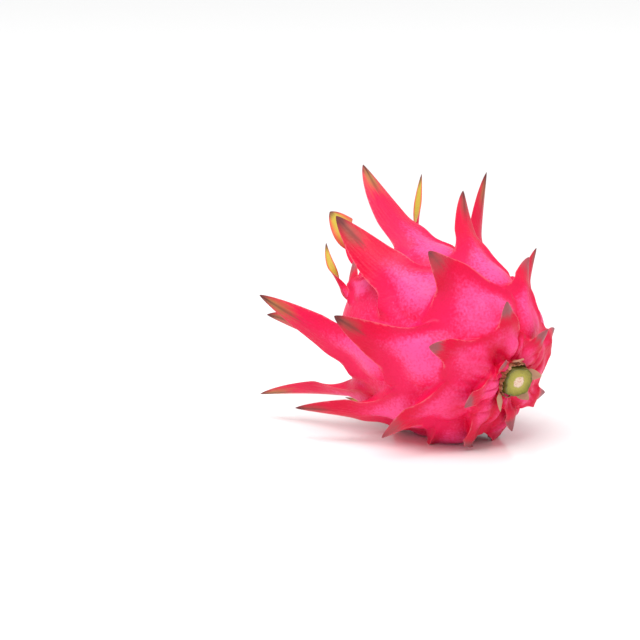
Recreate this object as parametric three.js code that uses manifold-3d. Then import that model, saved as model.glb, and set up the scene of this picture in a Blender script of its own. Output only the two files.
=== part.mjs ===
// A whole dragon fruit lying on its side: rind with leafy scales, cut stem stub and dried flower.
// Millimetres, +Z up. The stem end points along +X and dips. The origin is the middle of the small
// flat spot that the fruit rests on.
import * as THREE from "three";
import { mergeVertices } from "three/addons/utils/BufferGeometryUtils.js";
import Module from "manifold-3d";

// Body: a full ellipsoid with its long axis from the stem to the flower
const BODY_RADIUS = 40.3;
const STEM_HALF = 48.5;
const FLOWER_HALF = 46.5;
const FULLNESS = 2.25; // 2 is an ellipsoid, more is boxier
const DIP = THREE.MathUtils.degToRad(14); // how far the stem end hangs below level
const CENTRE_HEIGHT = 43.7; // of the body's middle above the table
const REST_SPOT = { x: 5, y: -4.5 }; // middle of the flat spot, measured from under the body's middle
const SCALE_PLANE_RADIUS = 48; // mean radius that turns an angle on the body into a length

// Hollow round the stem and navel round the flower: depth and angular reach
const STEM_HOLLOW = { depth: 5, reach: THREE.MathUtils.degToRad(14) };
const NAVEL = { depth: 7, reach: THREE.MathUtils.degToRad(13) };

// Scales: one spiral from the stem to the flower. Each step turns it by nearly the golden angle and
// moves it on by the same angle along the body.
const SCALE_COUNT = 38;
const FIRST_TURN = 276;
const STEP_TURN = 136.7;
const FIRST_ANGLE = 13;
const STEP_ANGLE = 3.85;
const ROW_RISE = 10.8; // along the body from one scale to the next one beside it
const ROW_TURN = THREE.MathUtils.degToRad(50.1);
const LONGEST_SCALE = 50;
const TIP_BEND = 12; // degrees that a scale curls back from root to tip

// Length and lean of the scales that don't follow the rule: length in millimetres, lean towards the
// flower and lean sideways in degrees
const OWN_LEAN = {
  1: [6, 45, -25],
  2: [11, 66, 10],
  3: [9, 53, 4],
  5: [11, 70, 26],
  6: [12, 50, 5],
  7: [9, 42, 25],
  8: [15, 74, -9],
  9: [16, 42, 9],
  10: [10, 66, 25],
  11: [19, 67, -27],
  14: [24, 28, 19],
  15: [8, 50, 0],
  16: [28, 43, 5],
  17: [30, 35, -16],
  18: [26, 74, 16],
  19: [33, 52, -21],
  22: [40, 62, -11],
  23: [36, 78, -8],
  24: [44, 14, 12],
  27: [50, 42, -11],
  30: [17, 72, -49],
  32: [46, -7, -6],
  33: [44, 40, 8],
  34: [42, 33, 4],
  35: [46, 29, -19],
  36: [42, 31, 13],
  37: [36, 14, -9],
  38: [38, 31, -29],
};

// Blades that are wider, stand on a wider root, are slimmer above it, curl more or turn about
// themselves (bend and twist in degrees)
const OWN_BLADE = {
  14: { spread: 1.35 },
  17: { wide: 1.1, spread: 1.1 },
  22: { wide: 1.4 },
  27: { wide: 1.3 },
  30: { wide: 0.7, spread: 0.6, slim: 1.5 },
  32: { wide: 0.55, spread: 0.7, slim: 2.2, bend: 6, twist: -80 },
  35: { wide: 1.25, slim: 1.2, bend: -30, twist: -155 },
  38: { wide: 0.45, spread: 0.5, slim: 2, bend: -40, twist: 145 },
};

// Small dried scales close round the stem: turn, angle, length, lean, sideways lean
const DRIED_SCALES = [
  [5, 12.5, 5, 15, 0],
  [140, 12.5, 8, 38, 0],
  [276, 12.5, 7, 35, 0],
  [226, 12, 6, 25, -5],
];
const DRIED_HALF_WIDTH = 4.2;

// Stem stub: cut face, depth in the rind and gap round it
const STEM = { width: 13.6, height: 13.8, root: 39, face: 50.4, aside: 0.6, squareness: 2.7 };
const GAP = 0.3;

// Dried flower in the navel: an open cup with a ragged edge
const FLOWER = { radius: 5.5, wall: 1.2, root: 37, floor: 41, edge: 48, lobes: 7, flare: 4 };

const { abs, acos, cos, exp, floor, hypot, log, max, min, PI, pow, sin, sqrt } = Math;
const clamp = THREE.MathUtils.clamp;
const radians = THREE.MathUtils.degToRad;
const smooth = THREE.MathUtils.smoothstep;

// Place on the body by the angle from the stem end and the turn about the axis
function direction(angle, turn) {
  return new THREE.Vector3(cos(angle), -sin(angle) * sin(turn), sin(angle) * cos(turn));
}

function bodyPoint(d) {
  const c = clamp(d.x, -1, 1);
  const s = sqrt(1 - c * c);
  const full = pow(pow(abs(c), FULLNESS) + pow(s, FULLNESS), -1 / FULLNESS);
  const half = c > 0 ? STEM_HALF : FLOWER_HALF;
  const angle = acos(c);
  const hollow = STEM_HOLLOW.depth * exp(-pow(angle / STEM_HOLLOW.reach, 2));
  const navel = NAVEL.depth * exp(-pow((PI - angle) / NAVEL.reach, 2));
  return new THREE.Vector3(
    c * half * full - hollow + navel,
    d.y * BODY_RADIUS * full,
    d.z * BODY_RADIUS * full,
  );
}

function bodyNormal(d) {
  const half = d.x > 0 ? STEM_HALF : FLOWER_HALF;
  return new THREE.Vector3(d.x / half, d.y / BODY_RADIUS, d.z / BODY_RADIUS).normalize();
}

// Height above the table of a point in the fruit's own frame
function heightOf(p) {
  return p.z * cos(DIP) - p.x * sin(DIP) + CENTRE_HEIGHT;
}

const TABLE_UP = new THREE.Vector3(-sin(DIP), 0, cos(DIP));

// How steeply a scale rises: sideways, on its outer face and on its inner face
const SIDE_POWER = 4.5;
const OUTER_POWER = 6.5;
const INNER_POWER = 1.3;
const KEEL_ROUND = 0.06; // of the half width
const CENTRELINE_STEPS = 24;

class Scale {
  constructor(turn, angle, [length, lean, side], own = {}) {
    this.centre = direction(angle, turn);
    this.along = new THREE.Vector3(-sin(angle), -cos(angle) * sin(turn), cos(angle) * cos(turn));
    this.across = new THREE.Vector3(0, -cos(turn), -sin(turn));
    const gap = ROW_TURN * BODY_RADIUS * sin(angle);
    this.halfWidth = own.halfWidth ?? 0.5 * (own.spread ?? 1) * hypot(gap, ROW_RISE);
    this.slope = min(ROW_RISE / gap, 0.35);
    this.droop = 0.42 * this.halfWidth;
    this.outerReach = 1.3 * this.halfWidth;
    this.innerReach = 0.26 * this.halfWidth;
    this.keelRound = KEEL_ROUND * this.halfWidth;
    this.length = length;
    this.lean = lean;
    this.side = side;
    this.bladeHalf = (2.5 + 0.095 * length) * (own.wide ?? 1);
    this.sidePower = SIDE_POWER * (own.slim ?? 1);
    this.bend = own.bend ?? TIP_BEND;
    this.twist = radians(own.twist ?? 0);
    const half = this.centre.x > 0 ? STEM_HALF : FLOWER_HALF;
    this.normal = bodyNormal(this.centre);
    this.forward = this.along.clone().multiply(new THREE.Vector3(half, BODY_RADIUS, BODY_RADIUS));
    this.forward.addScaledVector(this.normal, -this.forward.dot(this.normal)).normalize();
  }

  // Millimetres across and along the body from the scale's root
  local(d) {
    const x = d.dot(this.across);
    const y = d.dot(this.along);
    const l = max(hypot(x, y), 1e-9);
    const reach = (acos(clamp(d.dot(this.centre), -1, 1)) * SCALE_PLANE_RADIUS) / l;
    return [x * reach, y * reach];
  }

  // The direction that has these local coordinates
  directionAt(x, y) {
    const l = hypot(x, y) + 1e-9;
    const a = l / SCALE_PLANE_RADIUS;
    return this.centre
      .clone()
      .multiplyScalar(cos(a))
      .addScaledVector(this.across, (sin(a) * x) / l)
      .addScaledVector(this.along, (sin(a) * y) / l);
  }

  // The rim is the line that runs from the root to the scales on both sides
  rim(x) {
    return this.slope * x - this.droop * pow(abs(x / this.halfWidth), 1.6);
  }

  // Share of the half width, rounded at the keel
  share(x) {
    return (hypot(x, this.keelRound) - this.keelRound) / this.halfWidth;
  }

  // 0 on the body, 1 at the tip
  level(x, s) {
    const side = pow(clamp(1 - this.share(x), 0, 1), this.sidePower);
    const outer = pow(clamp(1 + s / this.outerReach, 0, 1), OUTER_POWER);
    const inner = pow(clamp(1 - s / this.innerReach, 0, 1), INNER_POWER);
    return side * (s < 0 ? outer : inner);
  }

  bladeWidth(t) {
    return this.bladeHalf * pow(1 - t * t, 0.8);
  }

  // Points and directions of the midrib, bent clear of the table where the root is above it
  layMidrib(root) {
    this.root = root;
    this.points = [root.clone()];
    this.turns = [];
    const step = this.length / CENTRELINE_STEPS;
    const p = root.clone();
    for (let i = 0; i < CENTRELINE_STEPS; i++) {
      const t = (i + 0.5) / CENTRELINE_STEPS;
      const lean = radians(this.lean + this.bend * (0.5 - t));
      const side = radians(this.side * (0.8 + 0.4 * t));
      const v = this.normal
        .clone()
        .multiplyScalar(cos(side) * cos(lean))
        .addScaledVector(this.forward, cos(side) * sin(lean))
        .addScaledVector(this.across, sin(side));
      const tilt = 0.5 * abs(this.across.dot(TABLE_UP));
      const room = heightOf(p.clone().addScaledVector(v, step)) - 1.5 - tilt * this.bladeWidth(t);
      if (room < 0 && heightOf(root) > 1) {
        v.addScaledVector(TABLE_UP, -v.dot(TABLE_UP));
        v.normalize().addScaledVector(TABLE_UP, min(0.8, (-room / step) * 0.25));
        v.normalize();
      }
      p.addScaledVector(v, step);
      this.points.push(p.clone());
      this.turns.push(v);
    }
  }

  // Midrib point and frame at a level
  midrib(t) {
    const f = clamp(t, 0, 1) * CENTRELINE_STEPS;
    const i = min(floor(f), CENTRELINE_STEPS - 1);
    const point = this.points[i].clone().lerp(this.points[i + 1], f - i);
    const g = clamp(f - 0.5, 0, CENTRELINE_STEPS - 1);
    const j = min(floor(g), CENTRELINE_STEPS - 2);
    const ahead = this.turns[j].clone().lerp(this.turns[j + 1], g - j).normalize();
    const settled = smooth(t, 0, 0.3);
    const v = this.normal.clone().lerp(ahead, settled).normalize();
    const s = this.across.clone().addScaledVector(v, -this.across.dot(v)).normalize();
    const u = new THREE.Vector3().crossVectors(s, v);
    const turned = this.twist * smooth(t, 0.05, 0.7);
    s.applyAxisAngle(v, -turned);
    u.applyAxisAngle(v, -turned);
    return { point, v, s, u };
  }
}

// Lean of the scales that the table above leaves out: a little more towards the flower, and to
// alternate sides by a repeatable amount
function usualLean(k) {
  return [min(5 + k + 0.026 * k * k, LONGEST_SCALE), 45 + 9 * sin(5.1 * k), 14 * sin(3.7 * k)];
}

const scales = [];
for (let k = 1; k <= SCALE_COUNT; k++) {
  const turn = radians(FIRST_TURN + STEP_TURN * k);
  const angle = radians(FIRST_ANGLE + STEP_ANGLE * k);
  scales.push(new Scale(turn, angle, OWN_LEAN[k] ?? usualLean(k), OWN_BLADE[k]));
}
for (const [turn, angle, ...grown] of DRIED_SCALES)
  scales.push(new Scale(radians(turn), radians(angle), grown, { halfWidth: DRIED_HALF_WIDTH }));

// Pillows under the rims and the rims themselves, as a smooth maximum of all scales
const RELIEF_BLEND = 0.7;
function relief(d) {
  let total = 1;
  for (const scale of scales) {
    if (d.dot(scale.centre) < cos((1.6 * scale.outerReach) / SCALE_PLANE_RADIUS)) continue;
    const [x, y] = scale.local(d);
    const w = scale.halfWidth;
    const h = scale.outerReach;
    const s = y - scale.rim(x);
    const u = abs(x) / w;
    const pillowX = (x + 0.15 * w) / (0.95 * w);
    const pillowY = (y + 0.62 * h) / (0.62 * h);
    const pillow = 0.25 * w * (1 - pillowX * pillowX - pillowY * pillowY);
    const fall =
      s < 0
        ? pow(clamp(1 + s / (0.5 * h), 0, 1), 1.7)
        : pow(clamp(1 - s / scale.innerReach, 0, 1), 1.4);
    const ridge = 0.34 * w * (1 - 0.4 * pow(min(u, 1), 2)) * fall * (1 - smooth(u, 0.9, 1.25));
    if (pillow > 0) total += exp(pillow / RELIEF_BLEND) - 1;
    total += exp(ridge / RELIEF_BLEND) - 1;
  }
  return RELIEF_BLEND * log(total);
}

function skinPoint(d) {
  return bodyPoint(d).addScaledVector(bodyNormal(d), relief(d));
}

for (const scale of scales) scale.layMidrib(skinPoint(scale.centre));

// The scale that lifts this direction most, with its local coordinates
function liftedBy(d) {
  let best = { t: 0 };
  for (const scale of scales) {
    if (d.dot(scale.centre) < cos((1.6 * scale.outerReach) / SCALE_PLANE_RADIUS)) continue;
    const [x, y] = scale.local(d);
    const s = y - scale.rim(x);
    const t = scale.level(x, s);
    if (t > best.t) best = { t, scale, x, s };
  }
  return best;
}

// Half width and half thicknesses of a scale at a level, in the body's own coordinates
const SWELL = 0.15;
function fruitPoint(d) {
  const skin = skinPoint(d);
  const { t, scale, x, s } = liftedBy(d);
  if (!scale) return skin;
  const rest = skin.clone().sub(scale.root);
  const across = rest.dot(scale.across);
  const along = rest.dot(scale.forward);
  const out = rest.dot(scale.normal);
  const started = 1 - pow(1 - t, 20);
  const share = 1 - pow(t, 1 / scale.sidePower);
  const naturalHalf = sqrt(max(pow(share * scale.halfWidth + scale.keelRound, 2) - pow(scale.keelRound, 2), 1e-9));
  const blade = scale.bladeWidth(t) * started;
  const half = pow(pow(naturalHalf, 2.6) + pow(blade, 2.6), 1 / 2.6);
  const place = clamp(x / naturalHalf, -1, 1);
  const swell = 1 / (1 + pow(t / SWELL, 2));
  const outer = s < 0;
  const reach = outer ? scale.outerReach : scale.innerReach;
  const power = outer ? OUTER_POWER : INNER_POWER;
  const naturalDepth = max(reach * (1 - pow(t, 1 / power)), 1e-6);
  const thin = (outer ? 0.6 : 0.45) + (outer ? 0.012 : 0.006) * scale.length;
  const depth = hypot(naturalDepth * swell, thin * sqrt(1 - t) * started);
  const face = s * (depth / naturalDepth);
  const settled = smooth(t, 0, 0.35);
  const cup = 0.15 * scale.bladeWidth(t) * place * place;
  const rise = (along - s) * (1 - settled) + cup * settled;
  const frame = scale.midrib(t);
  return frame.point
    .addScaledVector(frame.s, across * (1 - settled) * (half / naturalHalf) + place * half * settled)
    .addScaledVector(frame.u, face + rise)
    .addScaledVector(frame.v, out * (1 - settled));
}

// Surface of the rind: a ball of triangles, cut along every rim and split until it follows the shape
const KEY = 1e6;
const RIM_LEVEL = 0.01; // rims are cut where the scale rises more than this share of its length
class Skin {
  constructor(detail) {
    const ball = new THREE.IcosahedronGeometry(1, detail);
    ball.deleteAttribute("normal");
    ball.deleteAttribute("uv");
    const merged = mergeVertices(ball, 1e-5);
    const position = merged.attributes.position;
    this.vertices = Array.from({ length: position.count }, (_, i) =>
      this.vertex(new THREE.Vector3().fromBufferAttribute(position, i).normalize()),
    );
    this.triangles = [];
    for (let i = 0; i < merged.index.count; i += 3)
      this.triangles.push([0, 1, 2].map((j) => merged.index.getX(i + j)));
  }

  vertex(d, rim = null) {
    return { d, rim, p: fruitPoint(d) };
  }

  edges() {
    const found = new Map();
    for (const [a, b, c] of this.triangles)
      for (const [i, j] of [[a, b], [b, c], [c, a]]) if (i < j) found.set(i * KEY + j, [i, j]);
    return found;
  }

  length(i, j) {
    return this.vertices[i].p.distanceTo(this.vertices[j].p);
  }

  // Replace each triangle by the pieces that its new edge points give
  split(added) {
    const at = (i, j) => added.get(min(i, j) * KEY + max(i, j));
    const next = [];
    for (let [a, b, c] of this.triangles) {
      let points = [at(a, b), at(b, c), at(c, a)];
      const count = points.filter((p) => p !== undefined).length;
      const first = count === 2 ? [0, 1] : [0];
      while (count % 3 && first.some((i) => points[i] === undefined)) {
        [a, b, c] = [b, c, a];
        points = [points[1], points[2], points[0]];
      }
      const [ab, bc, ca] = points;
      if (!count) next.push([a, b, c]);
      if (count === 1) next.push([a, ab, c], [ab, b, c]);
      if (count === 2) {
        next.push([ab, b, bc]);
        if (this.length(ab, c) < this.length(a, bc)) next.push([a, ab, c], [ab, bc, c]);
        else next.push([a, ab, bc], [a, bc, c]);
      }
      if (count === 3) next.push([a, ab, ca], [ab, b, bc], [ca, bc, c], [ab, bc, ca]);
    }
    this.triangles = next;
  }

  // Put a vertex on every root and along every rim
  cutRims() {
    for (const scale of scales) {
      const gaps = this.vertices.map((v) => v.d.distanceTo(scale.centre));
      Object.assign(this.vertices[gaps.indexOf(min(...gaps))], this.vertex(scale.centre.clone(), scale));
    }
    const reach = this.vertices.map(() => Infinity);
    for (const [i, j] of this.edges().values()) {
      const gap = this.vertices[i].d.distanceTo(this.vertices[j].d) * SCALE_PLANE_RADIUS;
      reach[i] = min(reach[i], gap);
      reach[j] = min(reach[j], gap);
    }
    this.vertices.forEach((v, i) => {
      if (v.rim) return;
      const { t, scale, x, s } = liftedBy(v.d);
      if (t < RIM_LEVEL || abs(s) > 0.3 * reach[i]) return;
      Object.assign(v, this.vertex(scale.directionAt(x, scale.rim(x)), scale));
    });
    const added = new Map();
    for (const [key, [i, j]] of this.edges()) {
      const made = this.rimCrossing(this.vertices[i], this.vertices[j]);
      if (!made) continue;
      added.set(key, this.vertices.length);
      this.vertices.push(made);
    }
    this.split(added);
  }

  rimCrossing(a, b) {
    for (const scale of [liftedBy(a.d).scale, liftedBy(b.d).scale]) {
      if (!scale || a.rim === scale || b.rim === scale) continue;
      const [ax, ay] = scale.local(a.d);
      const [bx, by] = scale.local(b.d);
      const as = ay - scale.rim(ax);
      const bs = by - scale.rim(bx);
      if (as * bs >= 0) continue;
      const x = ax + ((bx - ax) * as) / (as - bs);
      const d = scale.directionAt(x, scale.rim(x));
      if (scale.level(x, 0) > RIM_LEVEL && liftedBy(d).scale === scale) return this.vertex(d, scale);
    }
    return null;
  }

  // Split every edge that the test asks for, and keep points between two rim points on the rim
  refine(wanted) {
    const added = new Map();
    for (const [key, [i, j]] of this.edges()) {
      const a = this.vertices[i];
      const b = this.vertices[j];
      let made = null;
      if (a.rim && a.rim === b.rim) {
        const x = (a.rim.local(a.d)[0] + a.rim.local(b.d)[0]) / 2;
        made = this.vertex(a.rim.directionAt(x, a.rim.rim(x)), a.rim);
      } else made = this.vertex(a.d.clone().add(b.d).normalize());
      if (!wanted(a, b, made)) continue;
      added.set(key, this.vertices.length);
      this.vertices.push(made);
    }
    this.split(added);
    return added.size;
  }

  geometry() {
    const geometry = new THREE.BufferGeometry();
    const places = this.vertices.flatMap((v) => v.p.toArray());
    geometry.setAttribute("position", new THREE.Float32BufferAttribute(places, 3));
    geometry.setIndex(this.triangles.flat());
    return geometry;
  }
}

const FIRST_DETAIL = 9;
const EVEN_SHARE = 0.5; // of the nearest scale's half width
const SHORTEST_EDGE = 2.4;
const LONGEST_EDGE = 12;
const LARGEST_MISS = 0.73; // between an edge's middle and the surface
const ROUNDS = 7;

function nearestHalfWidth(d) {
  const near = scales.reduce((a, b) => (b.centre.dot(d) > a.centre.dot(d) ? b : a));
  return near.halfWidth;
}

function makeSkin() {
  const skin = new Skin(FIRST_DETAIL);
  const uneven = (a, b, made) =>
    a.d.distanceTo(b.d) * SCALE_PLANE_RADIUS > EVEN_SHARE * nearestHalfWidth(made.d);
  while (skin.refine(uneven));
  skin.cutRims();
  const coarse = (a, b, made) => {
    const length = a.p.distanceTo(b.p);
    const miss = made.p.distanceTo(a.p.clone().lerp(b.p, 0.5));
    return length > SHORTEST_EDGE && (length > LONGEST_EDGE || miss > LARGEST_MISS);
  };
  for (let i = 0; i < ROUNDS; i++) skin.refine(coarse);
  return skin.geometry();
}

// A closed loft along X: rings of a rounded square, each given by its place and its size
const STEM_SIDES = 28;
function loft(rings) {
  const places = [];
  const index = [];
  for (const [x, width, height, slant] of rings)
    for (let i = 0; i < STEM_SIDES; i++) {
      const a = (2 * PI * i) / STEM_SIDES;
      const c = cos(a);
      const s = sin(a);
      const r = pow(pow(abs(c), STEM.squareness) + pow(abs(s), STEM.squareness), -1 / STEM.squareness);
      const y = 0.5 * width * r * c;
      places.push(x + slant * y, y + STEM.aside, 0.5 * height * r * s);
    }
  const last = rings.length - 1;
  for (let k = 0; k < last; k++)
    for (let i = 0; i < STEM_SIDES; i++) {
      const j = (i + 1) % STEM_SIDES;
      const [a, b] = [k * STEM_SIDES + i, k * STEM_SIDES + j];
      index.push(a, b, b + STEM_SIDES, a, b + STEM_SIDES, a + STEM_SIDES);
    }
  const centre = places.length / 3;
  places.push(rings[0][0], STEM.aside, 0, rings[last][0], STEM.aside, 0);
  for (let i = 0; i < STEM_SIDES; i++) {
    const j = (i + 1) % STEM_SIDES;
    index.push(centre, j, i, centre + 1, last * STEM_SIDES + i, last * STEM_SIDES + j);
  }
  const geometry = new THREE.BufferGeometry();
  geometry.setAttribute("position", new THREE.Float32BufferAttribute(places, 3));
  geometry.setIndex(index);
  return geometry;
}

const FACE_SLANT = 0.33; // the cut face turns a little to the side
const { width, height, root, face } = STEM;
const stemGeometry = loft([
  [root, width + 1.5, height + 1.5, 0],
  [face - 5, width + 1, height + 1, 0],
  [face - 1.2, width, height, FACE_SLANT],
  [face - 0.3, width - 0.6, height - 0.6, FACE_SLANT],
  [face, width - 2, height - 2, FACE_SLANT],
]);
const stemSocket = loft([
  [root - GAP, width + 1.5 + 2 * GAP, height + 1.5 + 2 * GAP, 0],
  [face - 5, width + 1 + 2 * GAP, height + 1 + 2 * GAP, 0],
  [face + 8, width + 2 * GAP, height + 2 * GAP, 0],
]);

// The dried flower's cup, turned from its wall's outline, with its edge torn into lobes
const CUP_SIDES = 42;
function flowerCup(grow) {
  const { radius, wall, root: back, floor: bottom, edge } = FLOWER;
  const outer = radius + grow;
  const outline = grow
    ? [[0, back - grow], [outer, back - grow], [outer, edge + 10], [0, edge + 10]]
    : [[0, back], [outer, back], [outer, bottom], [outer, (bottom + edge) / 2], [outer, edge],
       [outer - wall, edge], [outer - wall, (bottom + edge) / 2], [outer - wall, bottom], [0, bottom]];
  const cup = new THREE.LatheGeometry(outline.map(([r, y]) => new THREE.Vector2(r, y)), CUP_SIDES);
  cup.deleteAttribute("normal");
  cup.deleteAttribute("uv");
  const place = cup.attributes.position;
  for (let i = 0; i < place.count && !grow; i++) {
    const [x, y, z] = [place.getX(i), place.getY(i), place.getZ(i)];
    const up = clamp((y - bottom) / (edge - bottom), 0, 1);
    const turn = Math.atan2(z, x);
    const torn = 0.5 + 0.5 * cos(FLOWER.lobes * turn + 0.8 * sin(2 * turn));
    const out = 1 + (up * up * FLOWER.flare * (0.4 + 0.6 * torn)) / radius;
    place.setXYZ(i, x * out, y - up * 4 * (1 - torn), z * out);
  }
  cup.rotateZ(PI / 2);
  return mergeVertices(cup, 1e-4);
}

const wasm = await Module();
wasm.setup();

function solid(geometry) {
  const made = new wasm.Manifold(
    new wasm.Mesh({
      numProp: 3,
      vertProperties: new Float32Array(geometry.attributes.position.array),
      triVerts: new Uint32Array(geometry.index.array),
    }),
  );
  if (made.volume() > 0) return made;
  const index = geometry.index.array;
  for (let i = 0; i < index.length; i += 3) [index[i + 1], index[i + 2]] = [index[i + 2], index[i + 1]];
  return solid(geometry);
}

function largestBody(made) {
  return made.decompose().reduce((a, b) => (b.volume() > a.volume() ? b : a));
}

function geometryOf(made) {
  const mesh = made.getMesh();
  const geometry = new THREE.BufferGeometry();
  geometry.setAttribute("position", new THREE.BufferAttribute(mesh.vertProperties, 3));
  geometry.setIndex(new THREE.BufferAttribute(mesh.triVerts, 1));
  return geometry;
}

// Everything is shaped in the fruit's own frame and then laid on the table
const lying = new THREE.Group();
lying.name = "dragon_fruit";
lying.rotation.y = DIP;
lying.position.set(-REST_SPOT.x, -REST_SPOT.y, CENTRE_HEIGHT);
lying.updateMatrixWorld();

// The table presses the lowest scales flat
const TABLE = { size: 400, depth: 40 };
const table = new THREE.BoxGeometry(TABLE.size, TABLE.size, TABLE.depth);
table.deleteAttribute("normal");
table.deleteAttribute("uv");
table.translate(0, 0, -TABLE.depth / 2);
table.applyMatrix4(lying.matrixWorld.clone().invert());

const rind = largestBody(
  solid(makeSkin())
    .subtract(solid(mergeVertices(table, 1e-4)))
    .subtract(solid(stemSocket))
    .subtract(solid(flowerCup(GAP))),
);

function addPiece(name, geometry, color, roughness) {
  const mesh = new THREE.Mesh(geometry, new THREE.MeshStandardMaterial({ color, roughness, metalness: 0 }));
  mesh.name = name;
  lying.add(mesh);
}
addPiece("fruit", geometryOf(rind), 0xe8246c, 0.45);
addPiece("stem", geometryOf(solid(stemGeometry)), 0x8f9a3c, 0.6);
addPiece("dried_flower", geometryOf(solid(flowerCup(0))), 0x9a7448, 0.9);

export default lying;
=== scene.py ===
# %% [markdown]
# # A dragon fruit, lying on its side
#
# The fruit is a pink egg covered with leafy scales that curl out of its rind. The frame below is the
# measured solid of the same fruit. Everything that shows is built around it, in the same place and at
# the same size: the rind with its scales, the cut stem and the dried flower.

# %% Load the frame
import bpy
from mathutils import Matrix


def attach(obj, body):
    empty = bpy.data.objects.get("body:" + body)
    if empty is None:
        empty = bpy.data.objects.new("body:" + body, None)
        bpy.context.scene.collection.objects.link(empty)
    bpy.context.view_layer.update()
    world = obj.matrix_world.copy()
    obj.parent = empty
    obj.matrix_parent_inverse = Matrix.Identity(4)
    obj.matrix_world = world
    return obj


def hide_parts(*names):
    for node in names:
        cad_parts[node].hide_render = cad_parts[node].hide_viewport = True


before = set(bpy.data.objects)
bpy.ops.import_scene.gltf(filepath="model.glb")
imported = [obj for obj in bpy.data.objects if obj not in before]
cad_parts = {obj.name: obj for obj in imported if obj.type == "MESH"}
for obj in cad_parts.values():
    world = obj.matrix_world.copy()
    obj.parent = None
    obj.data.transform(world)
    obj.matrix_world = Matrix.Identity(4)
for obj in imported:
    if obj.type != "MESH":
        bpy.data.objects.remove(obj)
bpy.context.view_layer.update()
print("nodes of the frame:", sorted(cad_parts))

# %% [markdown]
# ## Tools
#
# Blender's own modules model and paint, and numpy works out many points at once. Creases, torn
# edges and blots need chance, and it is seeded, so each run of the lesson grows the same fruit.

# %% Tools for the lesson
import math

import bmesh
import bpy
import numpy as np
from mathutils import Matrix, Vector
from mathutils.kdtree import KDTree

MM = 0.001
SEED = 12
random = np.random.default_rng(SEED)
print("one millimetre is", MM, "m, and chance starts from", SEED)

# %% [markdown]
# ## The fruit's own measures
#
# All shapes are worked out in millimetres in the fruit's own frame: its middle is the origin and +X
# points to the stem. At the end they are laid on the table, where the stem end dips. The numbers
# are the same ones that the solid was built from, so both agree everywhere.

# %% Sizes and the two frames
BODY_RADIUS, STEM_HALF, FLOWER_HALF = 40.3, 48.5, 46.5
FULLNESS = 2.25
DIP = math.radians(14)
CENTRE_HEIGHT = 43.7
REST_SPOT = (5, -4.5)
PLANE_RADIUS = 48
HOLLOW_DEPTH, HOLLOW_REACH = 5, math.radians(14)
NAVEL_DEPTH, NAVEL_REACH = 7, math.radians(13)
TABLE_UP = np.array([-math.sin(DIP), 0, math.cos(DIP)])


def on_table(points):
    """Points of the fruit's own frame, in millimetres, as places on the table in metres."""
    points = np.atleast_2d(points)
    x = points[:, 0] * math.cos(DIP) + points[:, 2] * math.sin(DIP) - REST_SPOT[0]
    y = points[:, 1] - REST_SPOT[1]
    z = points @ TABLE_UP + CENTRE_HEIGHT
    return np.stack([x, y, z], 1) * MM


def unit(vectors):
    """The same ways with length 1."""
    return vectors / np.linalg.norm(vectors, axis=-1, keepdims=True)


def ramp(low, high, value):
    """0 below low, 1 above high, and smooth between them."""
    share = np.clip((value - low) / (high - low), 0, 1)
    return share * share * (3 - 2 * share)


print("body", 2 * BODY_RADIUS, "mm across and", STEM_HALF + FLOWER_HALF, "mm long")

# %% [markdown]
# ## The body under the scales
#
# A dragon fruit without its scales is a full egg, a little hollow round the stem and round the
# flower. A sphere could be scaled and pushed by hand, but a formula from a direction to a point is
# better here: the scales can be added to the same formula, and no seam appears between them.

# %% The body as a formula
def direction(angle, turn):
    """The way from the middle, by its angle from the stem and its turn about the long axis."""
    return np.array(
        [math.cos(angle), -math.sin(angle) * math.sin(turn), math.sin(angle) * math.cos(turn)]
    )


def half_length(d):
    """Length of the half of the body that each direction points into."""
    return np.where(d[:, 0] > 0, STEM_HALF, FLOWER_HALF)


def body_point(d):
    """Points of the bare body for these directions."""
    c = np.clip(d[:, 0], -1, 1)
    s = np.sqrt(1 - c * c)
    full = (np.abs(c) ** FULLNESS + s**FULLNESS) ** (-1 / FULLNESS)
    angle = np.arccos(c)
    hollow = HOLLOW_DEPTH * np.exp(-((angle / HOLLOW_REACH) ** 2))
    navel = NAVEL_DEPTH * np.exp(-(((math.pi - angle) / NAVEL_REACH) ** 2))
    points = d * BODY_RADIUS * full[:, None]
    points[:, 0] = c * half_length(d) * full - hollow + navel
    return points


def body_normal(d):
    """The way out of the body. The hollows are too shallow to count."""
    away = d / BODY_RADIUS
    away[:, 0] = d[:, 0] / half_length(d)
    return unit(away)


stem_pole, flower_pole = body_point(np.array([[1.0, 0, 0], [-1.0, 0, 0]]))
print("the bare body runs from", round(flower_pole[0], 1), "to", round(stem_pole[0], 1), "mm on its axis")

# %% [markdown]
# ## Where the scales grow
#
# Scales grow one after another along a spiral, each nearly a golden angle round from the last. That
# rule places all of them. The length and lean of the ones that are easy to tell apart are written
# in a table: length in millimetres, lean towards the flower and lean sideways in degrees. A second
# table holds what is special about a few blades, such as a twist, which shows their inner face.

# %% The spiral of scales
SCALE_COUNT, LONGEST_SCALE = 38, 50
FIRST_TURN, STEP_TURN = 276, 136.7
FIRST_ANGLE, STEP_ANGLE = 13, 3.85
ROW_RISE, ROW_TURN = 10.8, math.radians(50.1)
TIP_BEND = 12
OWN_LEAN = {
    1: (6, 45, -25), 2: (11, 66, 10), 3: (9, 53, 4), 5: (11, 70, 26), 6: (12, 50, 5),
    7: (9, 42, 25), 8: (15, 74, -9), 9: (16, 42, 9), 10: (10, 66, 25), 11: (19, 67, -27),
    14: (24, 28, 19), 15: (8, 50, 0), 16: (28, 43, 5), 17: (30, 35, -16), 18: (26, 74, 16),
    19: (33, 52, -21), 22: (40, 62, -11), 23: (36, 78, -8), 24: (44, 14, 12),
    27: (50, 42, -11), 30: (17, 72, -49), 32: (46, -7, -6), 33: (44, 40, 8), 34: (42, 33, 4),
    35: (46, 29, -19), 36: (42, 31, 13), 37: (36, 14, -9), 38: (38, 31, -29),
}
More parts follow.
